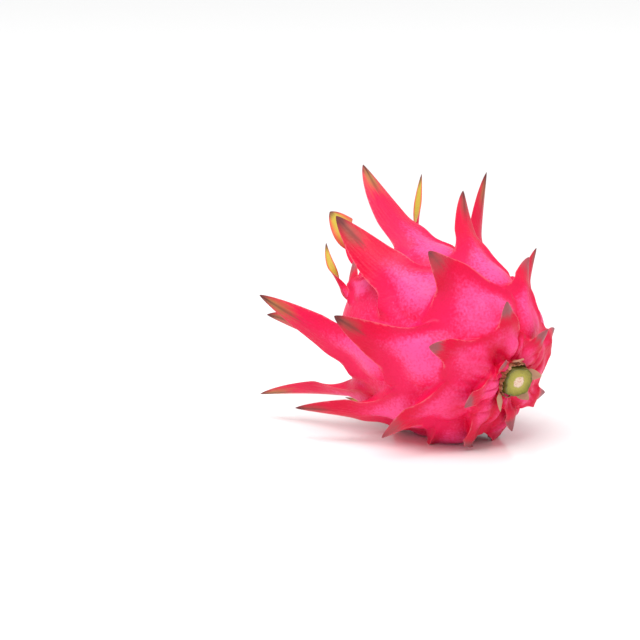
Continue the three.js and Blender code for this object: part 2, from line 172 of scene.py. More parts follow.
OWN_BLADE = {
    14: {"spread": 1.35}, 17: {"wide": 1.1, "spread": 1.1}, 22: {"wide": 1.4}, 27: {"wide": 1.3},
    30: {"wide": 0.7, "spread": 0.6, "slim": 1.5},
    32: {"wide": 0.55, "spread": 0.7, "slim": 2.2, "bend": 6, "twist": -80},
    35: {"wide": 1.25, "slim": 1.2, "bend": -30, "twist": -155},
    38: {"wide": 0.45, "spread": 0.5, "slim": 2, "bend": -40, "twist": 145},
}
DRIED_SCALES = [(5, 12.5, 5, 15, 0), (140, 12.5, 8, 38, 0), (276, 12.5, 7, 35, 0), (226, 12, 6, 25, -5)]
DRIED_HALF_WIDTH = 4.2


def usual_lean(k):
    """Length and lean of a scale that the table leaves out."""
    length = min(5 + k + 0.026 * k * k, LONGEST_SCALE)
    return length, 45 + 9 * math.sin(5.1 * k), 14 * math.sin(3.7 * k)


print(len(OWN_LEAN), "of", SCALE_COUNT, "scales on the spiral have a length and lean of their own")

# %% [markdown]
# ## One scale
#
# A scale is a triangle of rind round a root, with a rim where its blade lifts off and a midrib that
# curls out of the fruit. It could be a mesh of its own, but it has no seam to the rind. So it is kept
# as a small set of rules that any point of the rind can be asked about.

# %% A scale as a set of rules
STEEPEST_RIM, RIM_CURVE = 0.35, 1.6
# Shares of the half width of the root
DROOP, OUTER_REACH, INNER_REACH, KEEL_ROUND = 0.42, 1.3, 0.26, 0.06
SIDE_POWER, OUTER_POWER, INNER_POWER = 4.5, 6.5, 1.3
NARROWEST_BLADE, BLADE_GROWTH, BLADE_POINT = 2.5, 0.095, 0.8
SIGHT = 1.6
MIDRIB_STEPS, TABLE_GAP, STRONGEST_LIFT = 24, 1.5, 0.8


class Scale:
    """One leafy scale: where it is rooted, how far it reaches over the rind and how its midrib runs."""

    def __init__(
        self, turn, angle, length, lean, side, half_width=None,
        wide=1, spread=1, slim=1, bend=TIP_BEND, twist=0,
    ):
        turn, angle = math.radians(turn), math.radians(angle)
        self.centre = direction(angle, turn)
        self.along = np.array(
            [-math.sin(angle), -math.cos(angle) * math.sin(turn), math.cos(angle) * math.cos(turn)]
        )
        self.across = np.array([0, -math.cos(turn), -math.sin(turn)])
        gap = ROW_TURN * BODY_RADIUS * math.sin(angle)
        self.dried = half_width is not None
        self.half_width = half_width or 0.5 * spread * math.hypot(gap, ROW_RISE)
        self.slope = min(ROW_RISE / gap, STEEPEST_RIM)
        self.droop = DROOP * self.half_width
        self.outer_reach = OUTER_REACH * self.half_width
        self.inner_reach = INNER_REACH * self.half_width
        self.keel = KEEL_ROUND * self.half_width
        self.length, self.lean, self.side = length, lean, side
        self.blade_half = (NARROWEST_BLADE + BLADE_GROWTH * length) * wide
        self.side_power, self.bend, self.twist = SIDE_POWER * slim, bend, math.radians(twist)
        self.sees = math.cos(SIGHT * self.outer_reach / PLANE_RADIUS)
        self.normal = body_normal(self.centre[None])[0]
        ahead = self.along * [half_length(self.centre[None])[0], BODY_RADIUS, BODY_RADIUS]
        self.forward = unit(ahead - self.normal * (ahead @ self.normal))

    def local(self, d):
        """Millimetres across and along the rind from the root."""
        x, y = d @ self.across, d @ self.along
        far = np.arccos(np.clip(d @ self.centre, -1, 1)) * PLANE_RADIUS
        stretch = far / np.maximum(np.hypot(x, y), 1e-9)
        return x * stretch, y * stretch

    def direction_at(self, x, y):
        """The direction that has these local coordinates."""
        far = math.hypot(x, y) + 1e-9
        turned = far / PLANE_RADIUS
        aside = (self.across * x + self.along * y) * math.sin(turned) / far
        return self.centre * math.cos(turned) + aside

    def rim(self, x):
        """The line from the root to the neighbours on both sides, where the blade lifts off."""
        return self.slope * x - self.droop * np.abs(x / self.half_width) ** RIM_CURVE

    def level(self, x, s):
        """0 on the rind and 1 at the tip, s millimetres above the rim."""
        share = (np.hypot(x, self.keel) - self.keel) / self.half_width
        outer = np.clip(1 + s / self.outer_reach, 0, 1) ** OUTER_POWER
        inner = np.clip(1 - s / self.inner_reach, 0, 1) ** INNER_POWER
        return np.clip(1 - share, 0, 1) ** self.side_power * np.where(s < 0, outer, inner)

    def half_blade(self, t):
        """Half width of the blade at a share t of its length."""
        return self.blade_half * (1 - t * t) ** BLADE_POINT

    def lay_midrib(self, root):
        """Points and directions of the midrib. It bends clear of the table."""
        self.root = root
        step = self.length / MIDRIB_STEPS
        points, turns = [root], []
        for t in (np.arange(MIDRIB_STEPS) + 0.5) / MIDRIB_STEPS:
            lean = math.radians(self.lean + self.bend * (0.5 - t))
            side = math.radians(self.side * (0.8 + 0.4 * t))
            up = math.cos(lean) * self.normal + math.sin(lean) * self.forward
            v = math.cos(side) * up + math.sin(side) * self.across
            half = 0.5 * abs(self.across @ TABLE_UP) * self.half_blade(t)
            room = (points[-1] + v * step) @ TABLE_UP + CENTRE_HEIGHT - TABLE_GAP - half
            if room < 0 and root @ TABLE_UP + CENTRE_HEIGHT > 1:
                v = unit(v - TABLE_UP * (v @ TABLE_UP))
                v = unit(v + TABLE_UP * min(STRONGEST_LIFT, -room / step * 0.25))
            points.append(points[-1] + v * step)
            turns.append(v)
        self.points, self.turns = np.array(points), np.array(turns)

    def midrib(self, t):
        """Points on the midrib, and its frame: ahead, across the blade and out of its inner face."""
        ends = np.linspace(0, 1, MIDRIB_STEPS + 1)
        middles = (np.arange(MIDRIB_STEPS) + 0.5) / MIDRIB_STEPS
        point = np.stack([np.interp(t, ends, axis) for axis in self.points.T], 1)
        ahead = unit(np.stack([np.interp(t, middles, axis) for axis in self.turns.T], 1))
        settled = ramp(0, 0.3, t)[:, None]
        ahead = unit(self.normal * (1 - settled) + ahead * settled)
        across = unit(self.across - ahead * (ahead @ self.across)[:, None])
        inward = np.cross(across, ahead)
        turned = (self.twist * ramp(0.05, 0.7, t))[:, None]
        aside = across * np.cos(turned) + inward * np.sin(turned)
        return point, ahead, aside, inward * np.cos(turned) - across * np.sin(turned)


scales = []
for k in range(1, SCALE_COUNT + 1):
    grown = OWN_LEAN.get(k) or usual_lean(k)
    turn, angle = FIRST_TURN + STEP_TURN * k, FIRST_ANGLE + STEP_ANGLE * k
    scales.append(Scale(turn, angle, *grown, **OWN_BLADE.get(k, {})))
scales += [Scale(*row, half_width=DRIED_HALF_WIDTH) for row in DRIED_SCALES]
print(len(scales), "scales, the longest", max(scale.length for scale in scales), "mm")

# %% [markdown]
# ## Pillows and rims
#
# Below each scale the rind swells into a soft pillow, and along its rim it rises into a ridge that
# runs to the neighbouring scales. Each is a height over the body, and a smooth maximum joins
# them, as fondant laid over pebbles would.

# %% The relief of the rind
RELIEF_BLEND = 0.7
# Shares of the half width of the scale's root
PILLOW_HEIGHT, RIDGE_HEIGHT = 0.25, 0.34


def relief(d):
    """Height over the body, and the share that is pillow and ridge there."""
    total = np.ones(len(d))
    pillows, ridges = np.zeros(len(d)), np.zeros(len(d))
    for scale in scales:
        near = np.nonzero(d @ scale.centre > scale.sees)[0]
        w, h = scale.half_width, scale.outer_reach
        x, y = scale.local(d[near])
        s, u = y - scale.rim(x), np.abs(x) / w
        dome = 1 - ((x + 0.15 * w) / (0.95 * w)) ** 2 - ((y + 0.62 * h) / (0.62 * h)) ** 2
        outer = np.clip(1 + s / (0.5 * h), 0, 1) ** 1.7
        inner = np.clip(1 - s / scale.inner_reach, 0, 1) ** 1.4
        fall = np.where(s < 0, outer, inner) * (1 - ramp(0.9, 1.25, u))
        ridge = RIDGE_HEIGHT * w * (1 - 0.4 * np.minimum(u, 1) ** 2) * fall
        total[near] += np.exp(np.maximum(PILLOW_HEIGHT * w * dome, 0) / RELIEF_BLEND) - 1
        total[near] += np.exp(ridge / RELIEF_BLEND) - 1
        pillows[near] = np.maximum(pillows[near], dome)
        ridges[near] = np.maximum(ridges[near], fall)
    return RELIEF_BLEND * np.log(total), pillows, ridges


def skin_point(d):
    """Points of the rind before the scales are pulled out of it."""
    return body_point(d) + body_normal(d) * relief(d)[0][:, None]


for scale in scales:
    scale.lay_midrib(skin_point(scale.centre[None])[0])
farthest = max(np.linalg.norm(scale.points[-1]) for scale in scales)
print("the farthest tip is", round(farthest, 1), "mm from the middle")

# %% [markdown]
# ## Folds
#
# Round the stem the rind has shrunk into creases, and shallow dents run over the pillows. Both are
# too fine for the solid. They could be sculpted, but crossing waves with random directions give the
# same soft lumps, and where such a sum passes through zero it draws a net of lines: those are
# pressed in as creases. The creases fade away from the stem and on the blades.

# %% Creases and dents of the rind
CREASE_DEPTH, CREASE_REACH = 1.5, (math.radians(28), math.radians(62))
CREASE_THINNESS, CREASE_ROUND = 3, 1.5
DENT_DEPTH, DENT_RADIUS = 0.3, 40
WAVES, WAVE_HEIGHT = 11, 1.6


def soft_noise(size):
    """A function for smooth noise from about -1 to 1, with lumps about so many millimetres wide."""
    ways = unit(random.normal(size=(WAVES, 3))) * math.pi / size
    starts = random.random(WAVES) * 2 * math.pi
    return lambda points: np.sin(points @ ways.T + starts).sum(1) * WAVE_HEIGHT / WAVES


broad_lumps, lines, fine_lines = soft_noise(14), soft_noise(9), soft_noise(5)


def stem_end(d):
    """1 round the stem, 0 on the middle of the fruit."""
    return 1 - ramp(*CREASE_REACH, np.arccos(np.clip(d[:, 0], -1, 1)))


def near_zero(noise):
    """1 where the noise passes through zero and 0 where it is well off: a net of lines."""
    return (1 - np.minimum(abs(noise) * CREASE_THINNESS, 1)) ** CREASE_ROUND


def creases(d):
    """0 on smooth rind, 1 and more in the bottom of a crease."""
    turn = np.arctan2(d[:, 2], d[:, 1])
    angle = np.arccos(np.clip(d[:, 0], -1, 1))
    bent = angle * 16 + 3 * broad_lumps(d * DENT_RADIUS)
    around = np.stack([20 * np.cos(turn), 20 * np.sin(turn), bent], 1)
    crease = near_zero(lines(around)) + 0.5 * near_zero(fine_lines(around))
    return crease * stem_end(d)


def folds(d):
    """How far the creases and dents press the rind in, in millimetres."""
    return CREASE_DEPTH * creases(d) + DENT_DEPTH * broad_lumps(d * DENT_RADIUS)


belt = np.array([direction(math.radians(25), turn) for turn in np.linspace(0, 6.28, 400)])
print("deepest fold round the stem:", round(folds(belt).max(), 2), "mm")

# %% [markdown]
# ## Pulling the scales out
#
# A scale isn't stuck on: the rind itself is drawn out into a blade. So the formula takes the skin
# and pulls it along the midrib of the scale that lifts it, the more so the nearer it is to the
# root's middle. The same call notes what the finish needs later: how far up the blade a point is,
# how far from its midrib, and on which face.

# %% Which scale lifts a point
def lifted_by(d):
    """Level, number of the scale that lifts it most (-1 for none), and the local coordinates."""
    level, number = np.zeros(len(d)), np.full(len(d), -1)
    across, above = np.zeros(len(d)), np.zeros(len(d))
    for i, scale in enumerate(scales):
        near = np.nonzero(d @ scale.centre > scale.sees)[0]
        x, y = scale.local(d[near])
        s = y - scale.rim(x)
        t = scale.level(x, s)
        more = t > level[near]
        on = near[more]
        level[on], number[on], across[on], above[on] = t[more], i, x[more], s[more]
    return level, number, across, above


roots = np.array([scale.centre for scale in scales])
print("every root lifts to a tip, level", lifted_by(roots)[0].min())

# %% Pulling a blade out of the rind
SWELL, CUP = 0.15, 0.15
BLADE_ONSET, BLADE_CORNER = 20, 2.6
SETTLED_AT, BARE_FROM = 0.35, (0.02, 0.15)
OUTER_THIN, OUTER_GROWTH = 0.6, 0.012
INNER_THIN, INNER_GROWTH = 0.45, 0.006


def blade_outline(scale, t):
    """Half width of the root's triangle and of the blade, a share t of the way to the tip."""
    share = 1 - t ** (1 / scale.side_power)
    natural = (share * scale.half_width + scale.keel) ** 2 - scale.keel**2
    natural = np.sqrt(np.maximum(natural, 1e-9))
    blade = scale.half_blade(t) * (1 - (1 - t) ** BLADE_ONSET)
    return natural, (natural**BLADE_CORNER + blade**BLADE_CORNER) ** (1 / BLADE_CORNER)


def thinned(scale, t, s):
    """The share that a blade keeps of the thickness of the ridge that it is drawn from."""
    outer = s < 0
    reach = np.where(outer, scale.outer_reach, scale.inner_reach)
    power = np.where(outer, OUTER_POWER, INNER_POWER)
    natural = np.maximum(reach * (1 - t ** (1 / power)), 1e-6)
    outer_thin = OUTER_THIN + OUTER_GROWTH * scale.length
    inner_thin = INNER_THIN + INNER_GROWTH * scale.length
    thin = np.where(outer, outer_thin, inner_thin) * np.sqrt(1 - t) * (1 - (1 - t) ** BLADE_ONSET)
    return np.hypot(natural / (1 + (t / SWELL) ** 2), thin) / natural


def pull(scale, rest, t, x, s):
    """Moves points beside the root onto the blade. Also returns their place across it and its half."""
    natural_half, half = blade_outline(scale, t)
    place = np.clip(x / natural_half, -1, 1)
    settled = ramp(0, SETTLED_AT, t)
    cup = CUP * scale.half_blade(t) * place**2 * settled
    rise = (rest @ scale.forward - s) * (1 - settled) + cup
    wide = rest @ scale.across * (1 - settled) * (half / natural_half) + place * half * settled
    point, ahead, across, inward = scale.midrib(t)
    point = point + across * wide[:, None] + inward * (s * thinned(scale, t, s) + rise)[:, None]
    return point + ahead * ((rest @ scale.normal) * (1 - settled))[:, None], place, half


heights = np.array([0.2, 0.5, 0.8])
print("a long blade is", np.round(2 * blade_outline(scales[30], heights)[1], 1), "mm wide on its way up")

# %% From a direction to a point of the fruit
PATTERN_STEP = 7.3


def fruit_point(d):
    """Points of the fruit for these directions, and the marks that the finish reads."""
    height, pillows, ridges = relief(d)
    level, number, across, above = lifted_by(d)
    height = height - folds(d) * (1 - ramp(*BARE_FROM, level))
    points = body_point(d) + body_normal(d) * height[:, None]
    places, blades = np.zeros(len(d)), np.zeros((len(d), 3))
    for i in np.unique(number[number >= 0]):
        on, scale = np.nonzero(number == i)[0], scales[i]
        t, x, s = level[on], across[on], above[on]
        points[on], places[on], half = pull(scale, points[on] - scale.root, t, x, s)
        pattern = np.full(len(on), PATTERN_STEP * i)
        blades[on] = np.stack([places[on] * half, t * scale.length, pattern], 1)
    marks = {"level": level, "number": number, "above_rim": above, "pillow": pillows}
    return points, marks | {"ridge": ridges, "place": places, "blade": blades}


reach = np.ptp(fruit_point(roots)[0], axis=0)
print("from tip to tip:", np.round(reach, 1), "mm along, across and up the fruit")

# %% [markdown]
# ## A mesh that follows the rims
#
# A ball of even triangles would miss the thin edges of the scales. So the ball is first cut along
# every rim, and then each edge is split that comes out too long or too far from the shape. The
# work is done on the ball of directions, and only the last step moves each vertex to its place.

# %% A ball of directions
def read_ball(ball):
    """Directions and edges of the ball as arrays."""
    ball.verts.index_update()
    places = np.array([v.co for v in ball.verts])
    ends = np.array([[v.index for v in edge.verts] for edge in ball.edges])
    return unit(places), ends


def split(ball, edges, targets):
    """Splits the edges of the ball and puts each new vertex on its target."""
    middles = KDTree(len(edges))
    for i, edge in enumerate(edges):
        middles.insert((edge.verts[0].co + edge.verts[1].co) / 2, i)
    middles.balance()
    count = len(ball.verts)
    bmesh.ops.subdivide_edges(ball, edges=edges, cuts=1, use_single_edge=True)
    order = []
    for v in list(ball.verts)[count:]:
        i = middles.find(v.co)[1]
        v.co = targets[i]
        order.append(i)
    bmesh.ops.triangulate(ball, faces=[face for face in ball.faces if len(face.verts) > 3])
    return order


ball = bmesh.new()
bmesh.ops.create_icosphere(ball, subdivisions=6, radius=1)
print("ball:", len(ball.faces), "triangles")

# %% Cutting the ball along the rims
RIM_LEVEL, NEAR_RIM = 0.01, 0.3


def cut_rims(ball):
    """Puts a vertex on every root and along every rim. Returns each vertex's rim, or -1."""
    d, ends = read_ball(ball)
    rims = np.full(len(d), -1)
    ball.verts.ensure_lookup_table()
    for i, scale in enumerate(scales):
        near = int(np.argmax(d @ scale.centre))
        d[near], rims[near] = scale.centre, i
    gaps = np.linalg.norm(d[ends[:, 0]] - d[ends[:, 1]], axis=1) * PLANE_RADIUS
    room = np.full(len(d), np.inf)
    np.minimum.at(room, ends[:, 0], gaps)
    np.minimum.at(room, ends[:, 1], gaps)
    level, number, x, s = lifted_by(d)
    close = (rims < 0) & (level > RIM_LEVEL) & (np.abs(s) < NEAR_RIM * room)
    for v in np.nonzero(close)[0]:
        scale = scales[number[v]]
        d[v], rims[v] = scale.direction_at(x[v], scale.rim(x[v])), number[v]
    for v, place in zip(ball.verts, d):
        v.co = place
    crossing = {}
    for i, scale in enumerate(scales):
        seen = (number[ends] == i).any(1) & (rims[ends] != i).all(1)
        rows = np.nonzero(seen)[0]
        xa, ya = scale.local(d[ends[rows, 0]])
        xb, yb = scale.local(d[ends[rows, 1]])
        sa, sb = ya - scale.rim(xa), yb - scale.rim(xb)
        for j in np.nonzero(sa * sb < 0)[0]:
            at = xa[j] + (xb[j] - xa[j]) * sa[j] / (sa[j] - sb[j])
            place = scale.direction_at(at, scale.rim(at))
            t, who, _, _ = lifted_by(place[None])
            if t[0] > RIM_LEVEL and who[0] == i:
                crossing.setdefault(rows[j], (place, i))
    ball.edges.ensure_lookup_table()
    rows = list(crossing)
    order = split(ball, [ball.edges[row] for row in rows], [crossing[row][0] for row in rows])
    return np.concatenate([rims, [crossing[rows[i]][1] for i in order]])


rims = cut_rims(ball)
print("with the rims cut:", len(ball.faces), "triangles,", sum(rims >= 0), "vertices on rims")

# %% Splitting where the shape is missed
LONGEST_EDGE, SHORTEST_EDGE, LARGEST_MISS = 2.0, 0.45, 0.06
MOST_ROUNDS = 9


def refine(ball, rims):
    """Splits every edge that is too long or misses the shape. Returns the rims of all vertices."""
    d, ends = read_ball(ball)
    a, b = ends.T
    middle = unit(d[a] + d[b])
    along_rim = (rims[a] >= 0) & (rims[a] == rims[b])
    for row in np.nonzero(along_rim)[0]:
        scale = scales[rims[a[row]]]
        x = scale.local(d[ends[row]])[0].mean()
        middle[row] = scale.direction_at(x, scale.rim(x))
    points = fruit_point(d)[0]
    length = np.linalg.norm(points[a] - points[b], axis=1)
    miss = np.linalg.norm(fruit_point(middle)[0] - (points[a] + points[b]) / 2, axis=1)
    wanted = (length > LONGEST_EDGE) | ((miss > LARGEST_MISS) & (length > SHORTEST_EDGE))
    rows = np.nonzero(wanted)[0]
    ball.edges.ensure_lookup_table()
    order = split(ball, [ball.edges[row] for row in rows], [Vector(middle[row]) for row in rows])
    rim_of = np.where(along_rim, rims[a], -1)[rows]
    return np.concatenate([rims, rim_of[order]]), len(rows)


for attempt in range(MOST_ROUNDS):
    rims, made = refine(ball, rims)
    print("round", attempt, "split", made, "edges, triangles", len(ball.faces))
    if not made:
        break

# %% [markdown]
# ## Growing the fruit from the ball
#
# Each vertex of the ball now goes to its place on the fruit. The mesh also keeps what the paint needs
# later: how far up a blade a vertex is, on which face, on which pillow. Such marks could be painted
# by hand, but the formula knows them exactly, and they stay with the mesh.

# %% Move every vertex to its place on the fruit
rind_mesh = bpy.data.meshes.new("fruit_rind")
ball.to_mesh(rind_mesh)
directions, _ = read_ball(ball)
ball.free()
places, marks = fruit_point(directions)
rind_mesh.vertices.foreach_set("co", on_table(places).astype(np.float32).ravel())


def keep(mesh, name, values):
    """Stores one number or one vector for each vertex under a name that a finish can read."""
    kind, key = ("FLOAT", "value") if values.ndim == 1 else ("FLOAT_VECTOR", "vector")
    layer = mesh.attributes.new(name, kind, "POINT")
    layer.data.foreach_set(key, values.astype(np.float32).ravel())


own = marks["number"]
lengths = np.array([scale.length for scale in scales] + [0.0])
dried = np.array([float(scale.dried) for scale in scales] + [0.0])
chance = np.append(random.random(len(scales)), 0.5)
keep(rind_mesh, "level", marks["level"])
keep(rind_mesh, "place", marks["place"])
keep(rind_mesh, "face", np.where(rims >= 0, 0, np.sign(marks["above_rim"])) * (own >= 0))
keep(rind_mesh, "pillow", np.clip(marks["pillow"], 0, 1))
keep(rind_mesh, "ridge", marks["ridge"])
keep(rind_mesh, "length", lengths[own])
keep(rind_mesh, "dried", dried[own])
keep(rind_mesh, "chance", chance[own])
keep(rind_mesh, "blade", marks["blade"])
keep(rind_mesh, "stem_end", stem_end(directions))
keep(rind_mesh, "crease", creases(directions))
print("rind before it is laid on the table:", len(rind_mesh.polygons), "triangles")

# %% [markdown]
# ## The spot that it rests on
#
# The underside of a heavy fruit is pressed flat where it lies. Everything below the table is cut
# off and the holes are closed with flat faces. Scraps of scales that the cut leaves loose are taken
# away, because nothing holds them.

# %% Cut at the table
SAME_PLACE = 1e-7
SHARP_TURN = math.radians(62)


def islands(shape):
    """The connected parts of a mesh, as lists of faces."""
    left = set(shape.faces)
    while left:
        part, waiting = [], [left.pop()]
        while waiting:
            face = waiting.pop()
            part.append(face)
            for edge in face.edges:
                for other in edge.link_faces:
                    if other in left:
                        left.discard(other)
                        waiting.append(other)
        yield part


lying = bmesh.new()
lying.from_mesh(rind_mesh)
everything = lying.verts[:] + lying.edges[:] + lying.faces[:]
bmesh.ops.bisect_plane(
    lying, geom=everything, dist=SAME_PLACE, plane_co=(0, 0, 0), plane_no=(0, 0, 1), clear_inner=True
)
bmesh.ops.holes_fill(lying, edges=[edge for edge in lying.edges if edge.is_boundary])
bmesh.ops.triangulate(lying, faces=[face for face in lying.faces if len(face.verts) > 3])
parts = sorted(islands(lying), key=len)
for part in parts[:-1]:
    bmesh.ops.delete(lying, geom=part, context="FACES")
bmesh.ops.dissolve_degenerate(lying, edges=lying.edges[:], dist=SAME_PLACE)
lying.to_mesh(rind_mesh)
open_edges = sum(not edge.is_manifold for edge in lying.edges)
lying.free()
rind_mesh.shade_smooth()
rind_mesh.set_sharp_from_angle(angle=SHARP_TURN)
print("scraps removed:", len(parts) - 1, "open edges:", open_edges)
print("rind:", len(rind_mesh.polygons), "triangles")

# %% [markdown]
# ## Pieces
#
# A mesh shows only once an object holds it. Each object here is one piece of the fruit. It rides on
# the fruit's only body and takes the place of the solid of the frame that it dresses.

# %% Put the rind in the scene
def add_piece(name, mesh, slot, *nodes):
    """Puts a mesh in the scene as a piece of the fruit that stands for these nodes of the frame."""
    piece = bpy.data.objects.new(name, mesh)
    bpy.context.scene.collection.objects.link(piece)
    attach(piece, "root")
    if nodes:
        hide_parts(*nodes)
    print(name, "stands for", nodes or "no solid")


add_piece("fruit_rind", rind_mesh, "rind", "fruit")

# %% [markdown]
# ## The cut stem
#
# What is left of the stem is a green stub in the hollow at one end, cut flat. It isn't round: its
# outline is a soft square. It could be a cylinder with a bent outline, but its cut face has rings
# of bark, flesh and pith at slightly different heights. So a circle is extruded ring by ring, and
# each ring gets its own size and height.

# %% Extruding ring by ring
def next_ring(shape, loop):
    """Extrudes a closed loop of edges. Returns the new loop and its vertices."""
    made = bmesh.ops.extrude_edge_only(shape, edges=loop)["geom"]
    verts = [part for part in made if isinstance(part, bmesh.types.BMVert)]
    edges = [part for part in made if isinstance(part, bmesh.types.BMEdge)]
    return [edge for edge in edges if edge.verts[0] in verts and edge.verts[1] in verts], verts


def ringed(rings, place, segments):
    """A tube of rings, each with its own height and size. Its vertices keep their turn and size."""
    shape = bmesh.new()
    turns = shape.verts.layers.float.new("turn")
    sizes = shape.verts.layers.float.new("size")
    bmesh.ops.create_circle(shape, segments=segments, radius=1)
    for v in shape.verts:
        v[turns] = math.atan2(v.co.y, v.co.x)
    loop, verts = shape.edges[:], shape.verts[:]
    for i, (height, size) in enumerate(rings):
        if i:
            loop, verts = next_ring(shape, loop)
        for v in verts:
            v.co, v[sizes] = place(v[turns], height, size), size
    return shape, loop


def closed(shape, loop):
    """Draws the last ring together at its middle and closes the other end with a flat face."""
    tip = next_ring(shape, loop)[1]
    middle = sum((v.co for v in tip), Vector()) / len(tip)
    for v in tip:
        v[shape.verts.layers.float["size"]] = 0
    bmesh.ops.pointmerge(shape, verts=tip, merge_co=middle)
    bmesh.ops.holes_fill(shape, edges=[edge for edge in shape.edges if edge.is_boundary])
    bmesh.ops.recalc_face_normals(shape, faces=shape.faces)
    return shape


plain_rings = [(0, 1), (1, 1)]
tube = ringed(plain_rings, lambda turn, x, size: Vector((x, math.cos(turn), math.sin(turn))), 8)[0]
print("a tube of two plain rings of 8 vertices has", len(tube.faces), "faces")
tube.free()

# %% Stem stub
STEM_WIDTH, STEM_HEIGHT, STEM_ASIDE = 12.6, 13.4, 0.6
STEM_SLANT, SQUARENESS = 0.33, 2.7
STEM_SEGMENTS = 96
# Height along the axis and size of each ring: up the bark, over its edge and in to the pith
STEM_RINGS = [
    (38, 1.08), (42, 1.06), (45, 1.04), (48, 1.02), (49.6, 1.0), (50.1, 0.985), (50.25, 0.95),
    (50.15, 0.91), (49.9, 0.84), (49.8, 0.66), (49.85, 0.5), (50.0, 0.4), (50.05, 0.25), (50.0, 0.12),
]


def lay_down(shape, name):
    """Puts a shape of the fruit's own frame on the table and makes it a smooth mesh."""
    for v, place in zip(shape.verts, on_table(np.array([v.co for v in shape.verts]))):
        v.co = place
    bmesh.ops.triangulate(shape, faces=[face for face in shape.faces if len(face.verts) > 4])
    mesh = bpy.data.meshes.new(name)
    shape.to_mesh(mesh)
    shape.free()
    mesh.shade_smooth()
    mesh.set_sharp_from_angle(angle=SHARP_TURN)
    print(name + ":", len(mesh.polygons), "faces")
    return mesh


def beside_stem(x, turn, size):
    """A place on the stem's outline, a soft and uneven square, or so many times as far out."""
    c, s = abs(math.cos(turn)), abs(math.sin(turn))
    square = (c**SQUARENESS + s**SQUARENESS) ** (-1 / SQUARENESS)
    uneven = 0.022 * math.sin(3 * turn + 1) + 0.016 * math.sin(7 * turn) + 0.01 * math.sin(13 * turn)
    reach = square * (1 + uneven) * size
    y = STEM_WIDTH / 2 * reach * math.cos(turn)
    z = STEM_HEIGHT / 2 * reach * math.sin(turn)
    return Vector((x + STEM_SLANT * y, y + STEM_ASIDE, z))


def stem_place(turn, x, size):
    """A place on the stub. Its edge is ragged from the knife."""
    ragged = 0.14 * math.sin(9 * turn + 2) + 0.1 * math.sin(17 * turn)
    return beside_stem(x + ragged * (1 if 0.85 < size < 1 else 0.2), turn, size)


stem_mesh = lay_down(closed(*ringed(STEM_RINGS, stem_place, STEM_SEGMENTS)), "stem_stub")
add_piece("stem_stub", stem_mesh, "stem", "stem")

# %% [markdown]
# ## The papery sheath round the stem
#
# Where the stem leaves the rind, a dry brown skin has split and stands round it as a ragged, thin
# collar, high on one side and gone on the other. A torn edge is easier to get from a ring whose
# upper edge goes up and down than from cutting. The ring is given a wall last.

# %% Sheath
SHEATH_WALL, SHEATH_SEGMENTS = 0.35, 150
SHEATH_FOOT, SHEATH_LOW, SHEATH_RISE = 38, 43.8, 6.4
WIDE_SIZE, TOP_SIZE, SHEATH_STEPS = 1.5, 1.14, 9


def sheath_height(turn):
    """How far the collar stands along the stem: high on one side and hardly at all on the other."""
    wide = (0.5 - 0.5 * math.cos(turn + 0.35)) ** 0.6
    torn = 0.5 * math.sin(5 * turn) + 0.35 * math.sin(11 * turn + 1) + 0.25 * math.sin(23 * turn)
    return SHEATH_LOW + SHEATH_RISE * wide + torn * (0.3 + 0.6 * wide)


def sheath_place(turn, share, size):
    """A place on the collar, a share of its height up. Its upper edge curls and crumples."""
    x = SHEATH_FOOT + share * (sheath_height(turn) - SHEATH_FOOT)
    curl = 0.06 * share**3 * (1 + math.sin(4 * turn + 2)) + 0.012 * math.sin(19 * turn + 5 * share)
    return beside_stem(x, turn, size + curl)


shares = [i / SHEATH_STEPS for i in range(SHEATH_STEPS + 1)]
sheath_rings = [(share, WIDE_SIZE + (TOP_SIZE - WIDE_SIZE) * share) for share in shares]
collar = ringed(sheath_rings, sheath_place, SHEATH_SEGMENTS)[0]
bmesh.ops.recalc_face_normals(collar, faces=collar.faces)
bmesh.ops.solidify(collar, geom=collar.faces[:], thickness=SHEATH_WALL)
bmesh.ops.recalc_face_normals(collar, faces=collar.faces)
sheath_mesh = lay_down(collar, "stem_sheath")
add_piece("stem_sheath", sheath_mesh, "dried_flower")

# %% [markdown]
# ## The dried flower
#
# At the other end the flower has withered into a tuft of brown papery petals. They could be strands
# of hair, but dead petals are flat and curl along their edges. So each petal is a grid that is bent,
# cupped and torn by a formula and then given a thin wall. They stand in three rings, and seeded
# chance makes each one different.

# %% Dried flower
PETAL_WALL, PETAL_FOOT = 0.25, 38
# Number of petals, distance of their feet from the axis, length, width and how far they bend out
PETAL_RINGS = [(7, 4.6, 10.5, 5.2, 0.75), (8, 3.6, 11.5, 4.2, 0.45), (7, 2.2, 9.5, 3.2, 0.15)]


